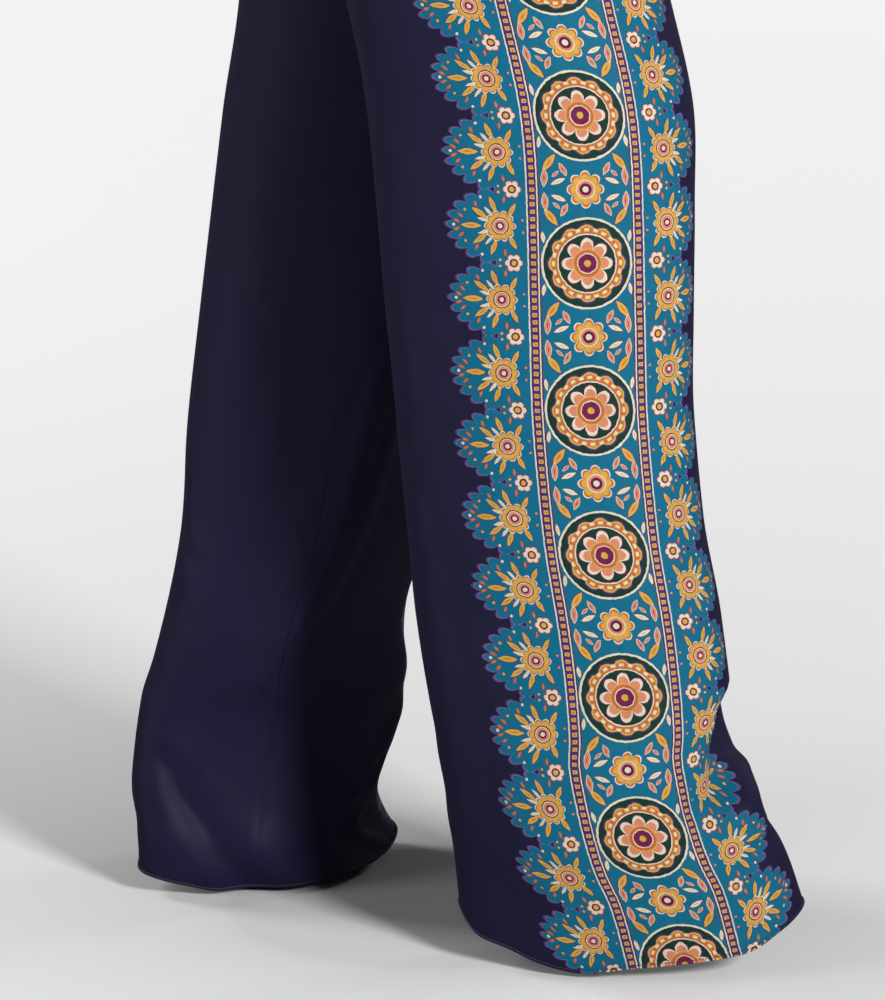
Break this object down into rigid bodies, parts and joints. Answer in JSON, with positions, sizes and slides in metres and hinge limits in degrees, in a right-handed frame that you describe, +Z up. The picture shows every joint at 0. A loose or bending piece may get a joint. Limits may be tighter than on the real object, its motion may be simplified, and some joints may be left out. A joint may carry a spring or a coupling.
{
  "type": "straight-leg trousers, worn pose",
  "caption": "Hollow straight-leg trousers held in a walking pose, open at the waist and the hems, with a waistband, a lapped closure and one button.",
  "frame": {"origin": "middle of the waist opening, at half the waistband's height, where the wearer's waist holds the garment", "axes": "+Z up, -Y the wearer's front, +X the wearer's left"},
  "size_m": [0.3778, 0.482, 1.1163],
  "materials": {
    "silk": "smooth navy silk with a soft sheen, printed along the outer seams",
    "band": "smooth navy silk, doubled",
    "button": "polished dark navy"
  },
  "bodies": {
    "root": {"front_right": "silk", "back_right": "silk", "front_left": "silk", "back_left": "silk", "waistband_right": "band", "waistband_left": "band", "fly_flap": "silk", "button": "button"}
  },
  "joints": []
}
